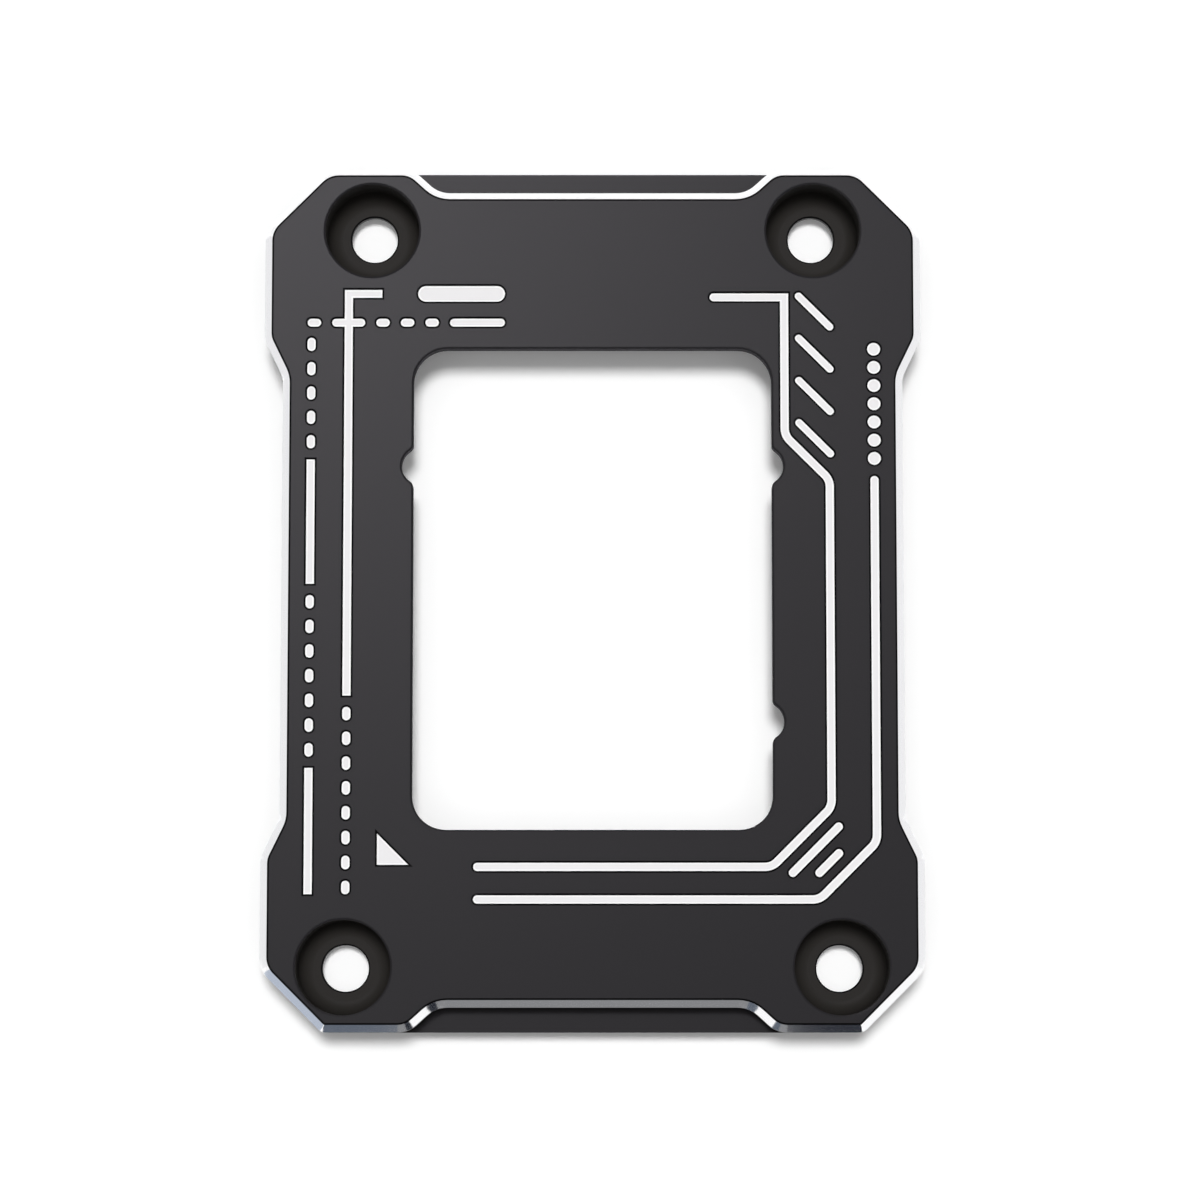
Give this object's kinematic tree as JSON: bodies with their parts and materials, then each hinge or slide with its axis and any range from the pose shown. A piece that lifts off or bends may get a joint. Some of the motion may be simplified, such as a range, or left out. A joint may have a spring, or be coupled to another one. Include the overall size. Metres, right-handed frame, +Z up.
{
  "type": "processor socket retention frame",
  "caption": "Milled aluminium frame that clamps a processor into its flat socket: windowed plate with deep screw recesses, chamfered outline and engraved lines.",
  "frame": {"origin": "centre of the underside, which rests on the board", "axes": "+X across the frame, +Y along its length towards the end with the closer pair of screws, +Z up towards the engraved face"},
  "size_m": [0.054, 0.071, 0.006],
  "materials": {
    "black_anodised_aluminium": "bead-blasted and anodised black, with a bright cut edge and bright engraved lines"
  },
  "bodies": {
    "root": {"retention_frame": "black_anodised_aluminium"}
  },
  "joints": []
}
